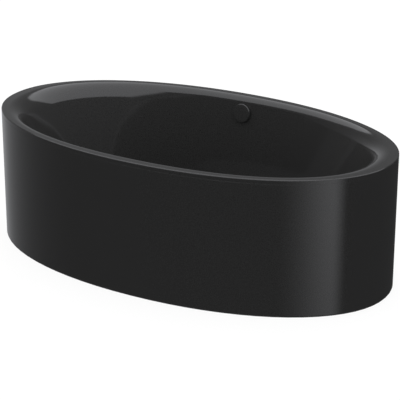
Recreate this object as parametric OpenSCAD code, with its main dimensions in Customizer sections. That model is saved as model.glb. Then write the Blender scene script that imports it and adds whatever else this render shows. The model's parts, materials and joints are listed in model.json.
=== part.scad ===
// Freestanding oval bath: an enamelled steel tub in an enamelled apron, on a foot frame
// with four levelling feet, with a cable-worked pop-up waste, an overflow and a trap.
// Millimetres. +Z is up, X runs along the bath, the overflow is on the +Y side, and the
// origin is on the ground under the middle of the bath.

/* [Bath] */
// Overall length
bath_length = 1800; // [1500:10:2200]
// Overall width
bath_width = 1000; // [820:10:1250]
// Height of the rim above the ground
bath_height = 575; // [470:5:700]
// Height of the inside floor above the ground, at the drain
floor_height = 125; // [120:1:160]
// Rise of the inside floor from the drain to its edge
floor_fall = 6; // [2:1:12]
// Roundness of the outer outline: 2 is an ellipse, more is squarer
outline_power = 2.09; // [2:0.01:2.6]
// Roundness of the inside of the rim and of the walls
inner_power = 2.2; // [2:0.01:2.6]

/* [Rim and walls] */
// Steel and enamel thickness of the tub
tub_wall = 3.5; // [2:0.5:3.5]
// Radius of the rim's outer edge
edge_radius = 4; // [4:0.5:10]
// Height of the turned-down lip at the rim's outer edge
lip_height = 18; // [14:1:30]
// Width of the flat rim on the long sides
side_flat = 29; // [27:1:40]
// Width of the flat rim at the ends
end_flat = 40; // [27:1:60]
// Radius from the rim into the long sides
side_roll = 28; // [15:1:40]
// Radius from the rim into the end slopes
end_roll = 97; // [40:1:120]
// Slope of the long sides, in degrees from level
side_slope = 82; // [76:1:86]
// Slope of the ends, in degrees from level
end_slope = 66; // [58:1:75]
// Radius between the long sides and the floor
side_fillet = 110; // [60:5:130]
// Radius between the ends and the floor
end_fillet = 120; // [60:5:160]

/* [Apron] */
// Sheet thickness of the apron
apron_wall = 2; // [1.5:0.5:3]
// Width of the flanges folded in along the apron's edges
apron_flange = 24; // [24:1:35]
// Height of the rubber strip that the apron stands on
seal_height = 4; // [3:0.5:8]
// Width of the rubber strip
seal_width = 10; // [6:1:11]
// Number of fixings between rim and apron
rim_fixings = 10; // [6:2:16]
// Gap between the rim's lip and the apron
seam_gap = 0.3; // [0.2:0.1:1]

/* [Foot frame] */
// Distance between the two cross rails
rail_spacing = 660; // [620:10:760]
// Width of a cross rail
rail_width = 40; // [30:1:50]
// Height of a cross rail
rail_height = 25; // [20:1:30]
// Wall of the cross rails
rail_wall = 2.5; // [2:0.5:3]
// Distance between the feet of one rail
foot_spacing = 440; // [380:10:480]
// Thread diameter of the levelling feet
foot_thread = 12; // [10:1:14]
// Diameter of the foot plates
foot_plate = 50; // [40:1:60]
// Height that a foot can still be wound out
foot_down = 15; // [5:1:20]
// Height that a foot can be wound in
foot_up = 5; // [2:1:6]

/* [Overflow] */
// Depth of the overflow's centre below the rim
overflow_drop = 70; // [62:1:100]
// Diameter of the overflow knob
knob_diameter = 82; // [74:1:95]
// Height of the overflow knob's face above the wall
knob_height = 14; // [12:0.5:18]
// Turn of the knob from closed to open, in degrees
knob_turn = 100; // [60:5:140]
// Radius of the waste and overflow holes in the tub
hole_radius = 26; // [24:0.5:28]
// Outer radius of the overflow hose
hose_radius = 19; // [16:0.5:20]
// Bend radius of the overflow hose
hose_bend = 70; // [60:5:100]
// Radius of the control cable
cable_radius = 3; // [2:0.5:4]
// Bend radius of the control cable
cable_bend = 80; // [60:5:100]

/* [Waste] */
// Lift of the plug
plug_lift = 12; // [8:1:14]
// Radius of the plug's cap
plug_radius = 34; // [31:0.5:40]
// Outer radius of the waste bowl
bowl_radius = 36; // [34:0.5:40]
// Outer radius of the pipes from waste to trap and of the outlet
pipe_radius = 20; // [16:0.5:20]
// Outer radius of the trap
trap_radius = 45; // [38:1:50]
// Distance from the waste's centre to the trap's
trap_distance = 125; // [120:1:140]

/* [Hidden] */

$fn = 72;
// Points round each outline
outline_steps = 72;
// Radial clearance of a shaft that turns or slides in its bore
running_gap = 0.06;
// Gap between pieces that lie on each other
contact_gap = 0.1;
// Clearance of a bolt in its hole
bolt_gap = 0.4;
// Gap between a threaded shaft and its nut
thread_gap = 0.05;
half_length = bath_length / 2;
half_width = bath_width / 2;

// ---- Shape of the tub ----

// Depth of the floor's edge below the rim
edge_depth = bath_height - floor_height - floor_fall;
// Radius of the level place round the drain
drain_level = 62;

function sign_power(v, p) = sign(v) * pow(abs(v), p);
// A point on a superellipse of half-axes a and b at the angle t
function outline_point(a, b, power, t) =
  [a * sign_power(cos(t), 2 / power), b * sign_power(sin(t), 2 / power)];
function outline(a, b, power) =
  [for (i = [0:outline_steps - 1]) outline_point(a, b, power, 360 * i / outline_steps)];
// Direction square to the outer outline at the angle t, in degrees
function outline_heading(t) =
  let (q = 2 * (outline_power - 1) / outline_power)
  atan2(sign_power(sin(t), q) / half_width, sign_power(cos(t), q) / half_length);
// Y of the outer outline at a given X
function outline_y(x) =
  half_width * pow(1 - pow(abs(x) / half_length, outline_power), 1 / outline_power);

// How far the inside surface lies in from the outer outline at a depth below the rim:
// a roll out of the flat, a straight slope and a fillet into the floor
function slope_start(roll, slope) = roll * (1 - cos(slope));
function slope_end(fillet, slope) = edge_depth - fillet * (1 - cos(slope));
function slope_inset(flat, roll, slope, depth) =
  flat + roll * sin(slope) + (depth - slope_start(roll, slope)) / tan(slope);
function inset_at(flat, roll, slope, fillet, depth) =
  depth <= slope_start(roll, slope) ? flat + sqrt(pow(roll, 2) - pow(roll - depth, 2)) :
  depth <= slope_end(fillet, slope) ? slope_inset(flat, roll, slope, depth) :
  slope_inset(flat, roll, slope, slope_end(fillet, slope))
    + fillet * sin(slope) - sqrt(pow(fillet, 2) - pow(fillet - edge_depth + depth, 2));
function side_inset(depth) = inset_at(side_flat, side_roll, side_slope, side_fillet, depth);
function end_inset(depth) = inset_at(end_flat, end_roll, end_slope, end_fillet, depth);

// A ring of the tub's surface: half-axes, height and roundness
function wall_ring(depth) = [half_length - end_inset(depth), half_width - side_inset(depth),
  bath_height - depth, inner_power];
floor_ring = wall_ring(edge_depth);
function floor_ring_at(share) = [
  drain_level + (floor_ring[0] - drain_level) * share,
  drain_level + (floor_ring[1] - drain_level) * share,
  floor_height + floor_fall * share, 2 + (inner_power - 2) * share];

side_roll_depth = slope_start(side_roll, side_slope);
end_roll_depth = slope_start(end_roll, end_slope);
side_fillet_depth = slope_end(side_fillet, side_slope);
tub_rings = concat(
  [[half_length, half_width, bath_height - lip_height, outline_power]],
  [for (t = [0:30:90]) [half_length - edge_radius * (1 - cos(t)),
    half_width - edge_radius * (1 - cos(t)),
    bath_height - edge_radius + edge_radius * sin(t), outline_power]],
  [[half_length - end_flat, half_width - side_flat, bath_height, inner_power]],
  [for (s = [1:5]) wall_ring(side_roll * (1 - cos(side_slope * s / 5)))],
  [for (s = [0.3, 0.65, 1])
    wall_ring(side_roll_depth + (end_roll_depth - side_roll_depth) * s)],
  [for (s = [0.33, 0.67, 1])
    wall_ring(end_roll_depth + (side_fillet_depth - end_roll_depth) * s)],
  [for (s = [1:6]) wall_ring(edge_depth - side_fillet * (1 - cos(side_slope * (1 - s / 6))))],
  [for (share = [0.5, 0]) floor_ring_at(share)]);
ring_count = len(tub_rings);

function surface_point(k, i) =
  let (r = tub_rings[k], p = outline_point(r[0], r[1], r[3], 360 * i / outline_steps))
  [p[0], p[1], r[2]];
// Direction square to the tub's surface, out of its visible side
function surface_normal(k, i) =
  let (along = surface_point(k, i + 1) - surface_point(k, i - 1),
    across = surface_point(min(k + 1, ring_count - 1), i) - surface_point(max(k - 1, 0), i),
    n = cross(along, across))
  n / norm(n);
// A point under the visible surface
function under_point(k, i, under) = surface_point(k, i) - surface_normal(k, i) * under;

// A sheet that follows rings first_k to last_k between two depths under the surface,
// either all the way round or from point first_i to last_i
module surface_sheet(first_k, last_k, first_i, last_i, top, bottom, whole) {
  rows = last_k - first_k + 1;
  cols = whole ? outline_steps : last_i - first_i + 1;
  last_quad = whole ? cols - 1 : cols - 2;
  layer = rows * cols;
  points = concat(
    [for (k = [first_k:last_k]) for (i = [0:cols - 1]) under_point(k, first_i + i, top)],
    [for (k = [first_k:last_k]) for (i = [0:cols - 1]) under_point(k, first_i + i, bottom)]);
  function at(k, i) = k * cols + i % cols;
  top_faces = [for (k = [0:rows - 2]) for (i = [0:last_quad])
    each [[at(k + 1, i), at(k + 1, i + 1), at(k, i)], [at(k + 1, i + 1), at(k, i + 1), at(k, i)]]];
  bottom_faces = [for (f = top_faces) [f[2] + layer, f[1] + layer, f[0] + layer]];
  function wall_faces(a, b) = [[a, b, a + layer], [b, b + layer, a + layer]];
  outer_edge = [for (i = [0:last_quad]) each wall_faces(at(0, i), at(0, i + 1))];
  inner_edge = whole ? [
      [for (i = [0:cols - 1]) at(rows - 1, cols - 1 - i)],
      [for (i = [0:cols - 1]) at(rows - 1, i) + layer]] :
    [for (i = [0:last_quad]) each wall_faces(at(rows - 1, i + 1), at(rows - 1, i))];
  side_edges = whole ? [] : [for (k = [0:rows - 2]) each concat(
    wall_faces(at(k + 1, 0), at(k, 0)), wall_faces(at(k, cols - 1), at(k + 1, cols - 1)))];
  polyhedron(points, concat(top_faces, bottom_faces, outer_edge, inner_edge, side_edges));
}

// ---- Places that several pieces share ----

// Overflow: on the middle of the far long side, square to the wall
overflow_y = half_width - side_inset(overflow_drop);
overflow_z = bath_height - overflow_drop;
module at_overflow() translate([0, overflow_y, overflow_z]) rotate([side_slope, 0, 0]) children();
// A point of the overflow's own frame, as [Y, Z]; up is along the wall, out is into the tub
function overflow_place(up, out) = [
  overflow_y + up * cos(side_slope) - out * sin(side_slope),
  overflow_z + up * sin(side_slope) + out * cos(side_slope)];

overflow_seat = hole_radius + 8;
// How far the wall bows in at the edge of the overflow's seat
seat_ring = wall_ring(overflow_drop);
seat_middle = outline_point(seat_ring[0], seat_ring[1], seat_ring[3], 90);
seat_side = outline_point(seat_ring[0], seat_ring[1], seat_ring[3], 90 - 360 / outline_steps);
seat_bow = (seat_middle[1] - seat_side[1]) * overflow_seat / seat_side[0];
collar_radius = hole_radius - 1.2;
collar_wall = 2.8;
overflow_seal_thickness = 4;
overflow_lip_radius = hole_radius + 11;
overflow_cup_radius = hole_radius + 4;
plastic_wall = 3;
spindle_radius = 5;
// Depth below the wall of the axis of the outlet, hose and cable
hose_wall = 2.5;
hose_depth = tub_wall + hose_radius + 5;
overflow_cup_depth = hose_depth + hose_radius;
hose_start = 50;
cable_x = hose_radius + cable_radius + 2.5;
cable_depth = 25;
cable_start = 36;
spigot_radius = cable_radius + 2;
cable_insert = 6;

// Waste: under the middle of the floor
floor_under = floor_height - tub_wall;
bottom_seal_thickness = 4;
bowl_top = floor_under - bottom_seal_thickness;
bowl_height = 51;
bowl_bottom = bowl_top - bowl_height;
bowl_lip_radius = hole_radius + 16;
bowl_lip_height = 5;
flange_radius = hole_radius + 9;
flange_thickness = 2.5;
top_seal_thickness = 1.5;
flange_top = floor_height + top_seal_thickness + flange_thickness;
flange_bore = collar_radius - collar_wall;
flange_depth = 20;
stem_radius = 6;
pin_radius = 5;
guide_radius = 8.5;
guide_top = bowl_bottom + 30;
pipe_wall = 2.5;
pipe_z = bowl_top - 6 - pipe_radius;
hose_end_y = bowl_radius + 28;

// Crank that lifts the pin, below the bowl
crank_reach = 24;
crank_turn = asin(plug_lift / crank_reach);
crank_arm = 22;
crank_y = -crank_reach;
crank_tip = 5;
crank_shaft = 4;
crank_z = bowl_bottom - plug_lift - crank_tip - 1.5;
pin_bottom = crank_z + crank_tip + 0.4;
pin_top = guide_top + 1.7;
cable_z = crank_z - crank_arm;
cable_end_y = 4;
cable_plate = 4;
// Radius on which the cable's wire winds, so that it pulls as far as the crank needs
drum_radius = crank_arm * crank_turn / knob_turn;

// Foot frame
rail_x = rail_spacing / 2;
rail_top = floor_under - 12;
rail_bottom = rail_top - rail_height;
rail_length = foot_spacing + 60;
foot_y = foot_spacing / 2;
foot_radius = foot_thread / 2;
foot_places = [for (x = [-rail_x, rail_x]) for (y = [-foot_y, foot_y]) [x, y]];
pad_y = 110;
pad_length = 90;
tie_y = -150;
tie_width = 30;
tie_thickness = 4;
bolt_radius = 3;
bolt_head = 5.5;
bolt_head_height = 4;
stay_thickness = 3;
stay_width = 40;
stay_foot = 24;

// Height of the tub's underside over a point of the floor
function floor_share(x, y) = pow(pow(abs(x) / floor_ring[0], inner_power)
  + pow(abs(y) / floor_ring[1], inner_power), 1 / inner_power);
function under_height(x, y) = floor_under + floor_fall * max(0, min(1, floor_share(x, y))) * 0.8;

// ---- Shapes that repeat ----

module ring(outer, inner, height) {
  difference() {
    cylinder(r = outer, h = height);
    translate([0, 0, -1]) cylinder(r = inner, h = height + 2);
  }
}
// A ring along Y, from a given Y in the +Y direction
module ring_y(outer, inner, length) rotate([-90, 0, 0]) ring(outer, inner, length);
module hexagon(radius, height) cylinder(r = radius, h = height, $fn = 6);
// A hexagon bolt, its head's seat at the origin and its shank upwards
module bolt(length) {
  translate([0, 0, -bolt_head_height]) hexagon(bolt_head, bolt_head_height);
  cylinder(r = bolt_radius, h = length);
}
module nut(radius, bore, height) {
  difference() {
    hexagon(radius, height);
    translate([0, 0, -1]) cylinder(r = bore, h = height + 2);
  }
}
// A flat band that follows the outer outline between two insets
module outline_band(outer_inset, inner_inset, height) {
  linear_extrude(height = height) difference() {
    polygon(outline(half_length - outer_inset, half_width - outer_inset, outline_power));
    polygon(outline(half_length - inner_inset, half_width - inner_inset, outline_power));
  }
}
// Children are placed at each rim fixing, their X along the direction out of the bath
fixing_inset = 16;
module at_rim_fixings() {
  for (j = [0:rim_fixings - 1]) {
    t = 360 * (j + 0.5) / rim_fixings;
    p = outline_point(half_length, half_width, outline_power, t);
    h = outline_heading(t);
    translate([p[0] - fixing_inset * cos(h), p[1] - fixing_inset * sin(h), 0])
      rotate([0, 0, h]) children();
  }
}
// A round bar or hose that runs down beside the tub's wall and then level to the waste
module down_and_in(x, start, depth, level, end_y, radius, bend) {
  bend_steps = 16;
  sides = 48;
  top = overflow_place(-start, -depth);
  arc_y = top[0] - (top[1] - level) / tan(side_slope) - bend * tan(side_slope / 2);
  // Points of the centre line, as Y, Z and the line's angle from level
  line = concat([[top[0], top[1], side_slope]],
    [for (i = [bend_steps:-1:0]) let (a = side_slope * i / bend_steps)
      [arc_y + bend * sin(a), level + bend * (1 - cos(a)), a]],
    [[end_y, level, 0]]);
  last = len(line) - 1;
  points = [for (p = line) for (j = [0:sides - 1]) let (t = 360 * j / sides)
    [x + radius * cos(t), p[0] + radius * sin(t) * sin(p[2]), p[1] - radius * sin(t) * cos(p[2])]];
  function at(k, j) = k * sides + j % sides;
  polyhedron(points, concat(
    [[for (j = [sides - 1:-1:0]) j]],
    [for (k = [0:last - 1]) for (j = [0:sides - 1])
      each [[at(k, j), at(k, j + 1), at(k + 1, j)], [at(k, j + 1), at(k + 1, j + 1), at(k + 1, j)]]],
    [[for (j = [0:sides - 1]) at(last, j)]]));
}

// ---- Tub and apron ----

module tub() {
  color("#1c1c1e") difference() {
    surface_sheet(0, ring_count - 1, 0, 0, 0, tub_wall, true);
    translate([0, 0, floor_height - 3 * tub_wall]) cylinder(r = hole_radius, h = 6 * tub_wall);
    at_overflow() translate([0, 0, -4 * tub_wall]) cylinder(r = hole_radius, h = 8 * tub_wall);
  }
}

apron_top = bath_height - lip_height - seam_gap;
module apron() {
  color("#1c1c1e") difference() {
    union() {
      translate([0, 0, seal_height]) outline_band(0, apron_wall, apron_top - seal_height);
      for (z = [seal_height, apron_top - apron_wall])
        translate([0, 0, z]) outline_band(apron_wall / 2, apron_wall + apron_flange, apron_wall);
    }
    at_rim_fixings() translate([0, 0, apron_top - 3 * apron_wall])
      cylinder(r = bolt_radius + bolt_gap, h = 6 * apron_wall, $fn = 32);
    for (x = [-rail_x, rail_x]) for (side = [-1, 1]) translate([x, side * stay_end_y, 0])
      cylinder(r = bolt_radius + thread_gap, h = 30, $fn = 32);
  }
}

module base_seal() {
  color("#202022") outline_band(1.5, 1.5 + seal_width, seal_height);
}

module rim_blocks() {
  height = lip_height + seam_gap - tub_wall - 2 * contact_gap;
  color("silver") at_rim_fixings() translate([0, 0, apron_top + contact_gap]) difference() {
    translate([-6, -15, 0]) cube([12, 30, height]);
    translate([0, 0, -1]) cylinder(r = bolt_radius + thread_gap, h = height - 1, $fn = 32);
  }
}

module rim_bolts() {
  color("silver") at_rim_fixings() translate([0, 0, apron_top - apron_wall])
    bolt(apron_wall + lip_height - tub_wall - 4);
}

module damping_mats() {
  // The rings between which all the walls are straight
  first = 13;
  last = 16;
  color("#3a3a3c") for (middle = [0, 0.5]) {
    centre = middle * outline_steps;
    surface_sheet(first, last, centre - 4, centre + 4, tub_wall + contact_gap,
      tub_wall + 5, false);
  }
  color("#3a3a3c") for (start = [6, 22, 42, 58])
    surface_sheet(first, last, start + 1, start + 7, tub_wall + contact_gap, tub_wall + 5, false);
}

// ---- Foot frame ----

stay_end_y = outline_y(rail_x) - apron_wall - apron_flange / 2 - 2;

module cross_rails() {
  color("#9aa0a5") for (x = [-rail_x, rail_x]) difference() {
    translate([x - rail_width / 2, -rail_length / 2, rail_bottom])
      cube([rail_width, rail_length, rail_height]);
    translate([x - rail_width / 2 + rail_wall, -rail_length / 2 - 1, rail_bottom + rail_wall])
      cube([rail_width - 2 * rail_wall, rail_length + 2, rail_height - 2 * rail_wall]);
    for (y = [-foot_y, foot_y]) translate([x, y, rail_bottom - 1])
      cylinder(r = foot_radius + bolt_gap, h = rail_height + 2);
    for (y = [-stay_bolt_y, stay_bolt_y]) translate([x, y, rail_bottom - 1])
      cylinder(r = bolt_radius + bolt_gap, h = rail_height / 2, $fn = 32);
    translate([x, tie_y, rail_bottom - 1])
      cylinder(r = bolt_radius + bolt_gap, h = rail_height / 2, $fn = 32);
    if (x > 0) translate([x, earth_y, rail_bottom - 1])
      cylinder(r = bolt_radius + bolt_gap, h = rail_height / 2, $fn = 32);
  }
}
stay_bolt_y = foot_y - 34;
earth_y = 30;

module rail_pads() {
  color("#2b2b2b") for (x = [-rail_x, rail_x]) for (y = [-pad_y, pad_y]) {
    inner_x = abs(x) - rail_width / 2;
    inner_y = abs(y) - pad_length / 2;
    top = under_height(inner_x, inner_y) - contact_gap;
    translate([x - rail_width / 2, y - pad_length / 2, rail_top + contact_gap])
      cube([rail_width, pad_length, top - rail_top - contact_gap]);
  }
}

module tie_bar() {
  length = rail_spacing + rail_width;
  color("#9aa0a5") difference() {
    translate([-length / 2, tie_y - tie_width / 2, rail_bottom - tie_thickness - contact_gap])
      cube([length, tie_width, tie_thickness]);
    for (x = [-rail_x, rail_x]) translate([x, tie_y, rail_bottom - 3 * tie_thickness])
      cylinder(r = bolt_radius + bolt_gap, h = 6 * tie_thickness, $fn = 32);
  }
}

module tie_bolts() {
  color("silver") for (x = [-rail_x, rail_x])
    translate([x, tie_y, rail_bottom - tie_thickness - 2 * contact_gap]) bolt(tie_thickness + 12);
}

nut_height = 10;
module foot_nuts() {
  color("silver") for (p = foot_places) translate([p[0], p[1], rail_bottom + rail_wall + contact_gap])
    nut(foot_radius * 1.8, foot_radius + running_gap, nut_height);
}

module foot_locknuts() {
  color("silver") for (p = foot_places)
    translate([p[0], p[1], rail_bottom - nut_height * 0.6 - contact_gap])
      nut(foot_radius * 1.8, foot_radius + running_gap, nut_height * 0.6);
}

plate_height = 12;
plate_socket = 5;
module foot_plate_at(p) {
  color("#2b2b2b") translate([p[0], p[1], 0]) difference() {
    union() {
      cylinder(r1 = foot_plate / 2, r2 = foot_plate / 2 - 2, h = 5);
      cylinder(r = foot_radius + 6, h = plate_height);
    }
    translate([0, 0, plate_socket]) cylinder(r = foot_radius + thread_gap, h = plate_height);
  }
}
module foot_spindle_at(p) {
  top = rail_top + 4;
  color("silver") translate([p[0], p[1], plate_socket + contact_gap]) {
    cylinder(r = foot_radius, h = top - plate_socket - contact_gap);
    translate([0, 0, plate_height - plate_socket]) hexagon(foot_radius * 1.7, 8);
  }
}
module foot_plate_1() foot_plate_at(foot_places[0]);
module foot_plate_2() foot_plate_at(foot_places[1]);
module foot_plate_3() foot_plate_at(foot_places[2]);
module foot_plate_4() foot_plate_at(foot_places[3]);
module foot_spindle_1() foot_spindle_at(foot_places[0]);
module foot_spindle_2() foot_spindle_at(foot_places[1]);
module foot_spindle_3() foot_spindle_at(foot_places[2]);
module foot_spindle_4() foot_spindle_at(foot_places[3]);

stay_foot_z = seal_height + apron_wall + contact_gap;
stay_top_z = rail_bottom - stay_thickness - contact_gap;
module apron_stays() {
  inner_y = stay_bolt_y - 12;
  leg_y = stay_end_y - 16;
  color("#9aa0a5") for (x = [-rail_x, rail_x]) for (side = [-1, 1])
    translate([x, 0, 0]) scale_side(side) difference() {
      union() {
        translate([-stay_width / 2, inner_y, stay_top_z])
          cube([stay_width, leg_y - inner_y, stay_thickness]);
        translate([-stay_width / 2, leg_y - stay_thickness, stay_foot_z])
          cube([stay_width, stay_thickness, stay_top_z + stay_thickness - stay_foot_z]);
        translate([-stay_width / 2, leg_y - stay_thickness, stay_foot_z])
          cube([stay_width, stay_foot, stay_thickness]);
      }
      translate([0, stay_bolt_y, stay_top_z - 1])
        cylinder(r = bolt_radius + bolt_gap, h = stay_thickness + 2, $fn = 32);
      translate([0, foot_y, stay_top_z - 1])
        cylinder(r = foot_radius * 1.8 + 2, h = stay_thickness + 2);
      translate([0, stay_end_y, stay_foot_z - 1])
        cylinder(r = bolt_radius + bolt_gap, h = stay_thickness + 2, $fn = 32);
    }
}
module scale_side(side) {
  if (side > 0) children();
  else mirror([0, 1, 0]) children();
}

module stay_bolts() {
  color("silver") for (x = [-rail_x, rail_x]) for (side = [-1, 1]) {
    translate([x, side * stay_bolt_y, stay_top_z - contact_gap]) bolt(stay_thickness + 12);
    translate([x, side * stay_end_y, stay_foot_z + stay_thickness + contact_gap])
      mirror([0, 0, 1]) bolt(stay_thickness + apron_wall + 1);
  }
}

module stay_nuts() {
  color("silver") for (x = [-rail_x, rail_x]) for (side = [-1, 1])
    translate([x, side * stay_bolt_y, rail_bottom + rail_wall + contact_gap])
      nut(bolt_head, bolt_radius + thread_gap, 5);
  color("silver") for (x = [-rail_x, rail_x])
    translate([x, tie_y, rail_bottom + rail_wall + contact_gap])
      nut(bolt_head, bolt_radius + thread_gap, 5);
}

module earth_lug() {
  color("silver") difference() {
    translate([rail_x - 9, earth_y - 12, rail_bottom - 3 - contact_gap]) cube([18, 24, 3]);
    translate([rail_x, earth_y, rail_bottom - 10])
      cylinder(r = bolt_radius + bolt_gap, h = 20, $fn = 32);
  }
}

// ---- Overflow ----

front_seal_thickness = 0.8;
module overflow_front_seal() {
  color("#202022") at_overflow() translate([0, 0, seat_bow + contact_gap])
    ring(overflow_seat, hole_radius, front_seal_thickness);
}

module overflow_rear_seal() {
  color("#202022") at_overflow()
    translate([0, 0, -tub_wall - overflow_seal_thickness - contact_gap])
      ring(overflow_lip_radius, collar_radius + 0.5, overflow_seal_thickness);
}

collar_face = 2.5;
collar_back = 18;
hub_radius = 8.5;
module overflow_collar() {
  base = seat_bow + front_seal_thickness + 2 * contact_gap;
  color("#b9bcc0") at_overflow() difference() {
    union() {
      translate([0, 0, base])
        ring(overflow_seat, collar_radius - collar_wall, collar_face);
      translate([0, 0, -collar_back])
        ring(collar_radius, collar_radius - collar_wall, collar_back + base + 1);
      translate([0, 0, -6]) cylinder(r = hub_radius, h = 6);
      for (a = [30, 150, 270]) rotate([0, 0, a]) translate([0, -2, -6])
        cube([collar_radius - 1, 4, 5]);
    }
    translate([0, 0, -10]) cylinder(r = spindle_radius + running_gap, h = 20);
  }
}

body_front = -tub_wall - overflow_seal_thickness - 2 * contact_gap;
hose_insert = 12;
module overflow_body() {
  lip = 4;
  back = -overflow_cup_depth;
  color("#c9c7bf") at_overflow() difference() {
    union() {
      difference() {
        union() {
          translate([0, 0, body_front - lip]) cylinder(r = overflow_lip_radius, h = lip);
          translate([0, 0, back]) cylinder(r = overflow_cup_radius, h = body_front - 1 - back);
          translate([0, 0, -hose_depth]) rotate([90, 0, 0])
            cylinder(r = hose_radius - hose_wall - contact_gap, h = hose_start + hose_insert);
          translate([cable_x, 0, -cable_depth]) rotate([90, 0, 0])
            cylinder(r = spigot_radius, h = cable_start + cable_insert);
        }
        translate([0, 0, back + plastic_wall])
          cylinder(r = collar_radius + thread_gap, h = overflow_cup_depth);
      }
      translate([0, 0, back + 1]) cylinder(r = hub_radius, h = plastic_wall + 6);
    }
    translate([0, 0, back + 2]) cylinder(r = spindle_radius + running_gap, h = plastic_wall + 10);
    translate([0, -collar_radius + 1, -hose_depth]) rotate([90, 0, 0])
      cylinder(r = hose_radius - 2 * hose_wall - 1, h = hose_start + hose_insert);
    translate([cable_x, -cable_start, -cable_depth]) rotate([90, 0, 0])
      cylinder(r = cable_radius + contact_gap, h = cable_insert + 1, $fn = 32);
  }
}

knob_wall = 3;
knob_base = 5;
knob_edge = 3.5;
module overflow_knob() {
  radius = knob_diameter / 2;
  color("#1c1c1e") at_overflow() difference() {
    union() {
      rotate_extrude() polygon(concat(
        [[0, knob_height]],
        [for (t = [90:-15:0]) [radius - knob_edge + knob_edge * cos(t),
          knob_height - knob_edge + knob_edge * sin(t)]],
        [[radius, knob_base], [radius - knob_wall, knob_base],
          [radius - knob_wall, knob_height - knob_wall], [0, knob_height - knob_wall]]));
      translate([0, 0, knob_base - 1]) cylinder(r = hub_radius, h = knob_height - knob_base - 1);
    }
    cylinder(r = spindle_radius + thread_gap, h = knob_height - 2);
    translate([0, 0, knob_screw_z]) rotate([90, 0, 0]) cylinder(r = 1.65, h = radius + 1, $fn = 24);
  }
}
knob_screw_z = knob_base + 3;

module knob_spindle() {
  back = -overflow_cup_depth + 2.5;
  groove = 4;
  flange = 2;
  color("silver") at_overflow() {
    translate([0, 0, back]) cylinder(r = spindle_radius, h = knob_height - 3 - back);
    translate([0, 0, -cable_depth - groove / 2]) cylinder(r = drum_radius, h = groove);
    for (z = [-groove / 2 - flange, groove / 2]) translate([0, 0, z - cable_depth])
      cylinder(r = drum_radius + 3, h = flange);
  }
}

module knob_screw() {
  color("silver") at_overflow() translate([0, -spindle_radius - contact_gap, knob_screw_z])
    rotate([90, 0, 0]) cylinder(r = 1.6, h = 5, $fn = 24);
}

module overflow_hose() {
  color("#4a4c4f") difference() {
    down_and_in(0, hose_start, hose_depth, pipe_z, hose_end_y, hose_radius, hose_bend);
    down_and_in(0, hose_start - 1, hose_depth, pipe_z, hose_end_y - 1,
      hose_radius - hose_wall, hose_bend);
  }
}

module hose_clips() {
  clip_wall = 1.5;
  clip_width = 9;
  color("silver") {
    at_overflow() translate([0, -hose_start - 2, -hose_depth]) rotate([90, 0, 0])
      ring(hose_radius + contact_gap + clip_wall, hose_radius + contact_gap, clip_width);
    translate([0, hose_end_y + 2, pipe_z])
      ring_y(hose_radius + contact_gap + clip_wall, hose_radius + contact_gap, clip_width);
  }
}

module control_cable() {
  color("#303236") down_and_in(cable_x, cable_start + contact_gap, cable_depth, cable_z,
    cable_end_y, cable_radius, cable_bend);
}

// ---- Waste ----

module waste_flange() {
  arm_z = bowl_top - 10;
  arm_height = 6;
  foot_z = bowl_top - 12;
  color("#d5d8db") difference() {
    union() {
      translate([0, 0, floor_height + top_seal_thickness + contact_gap])
        ring(flange_radius, flange_bore, flange_thickness);
      translate([0, 0, foot_z]) ring(collar_radius, flange_bore, flange_top - foot_z);
      translate([0, 0, arm_z]) cylinder(r = stem_radius + 3, h = arm_height);
      for (a = [90, 210, 330]) rotate([0, 0, a]) translate([0, -1.5, arm_z])
        cube([collar_radius - 1, 3, arm_height]);
    }
    translate([0, 0, arm_z - 1]) cylinder(r = stem_radius + running_gap, h = arm_height + 2);
  }
}

module waste_top_seal() {
  color("#202022") translate([0, 0, floor_height + contact_gap])
    ring(flange_radius - 1, hole_radius, top_seal_thickness - contact_gap);
}

module waste_bottom_seal() {
  color("#202022") translate([0, 0, bowl_top + contact_gap])
    ring(bowl_lip_radius - 2, collar_radius + 0.5, bottom_seal_thickness - 2 * contact_gap);
}

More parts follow.
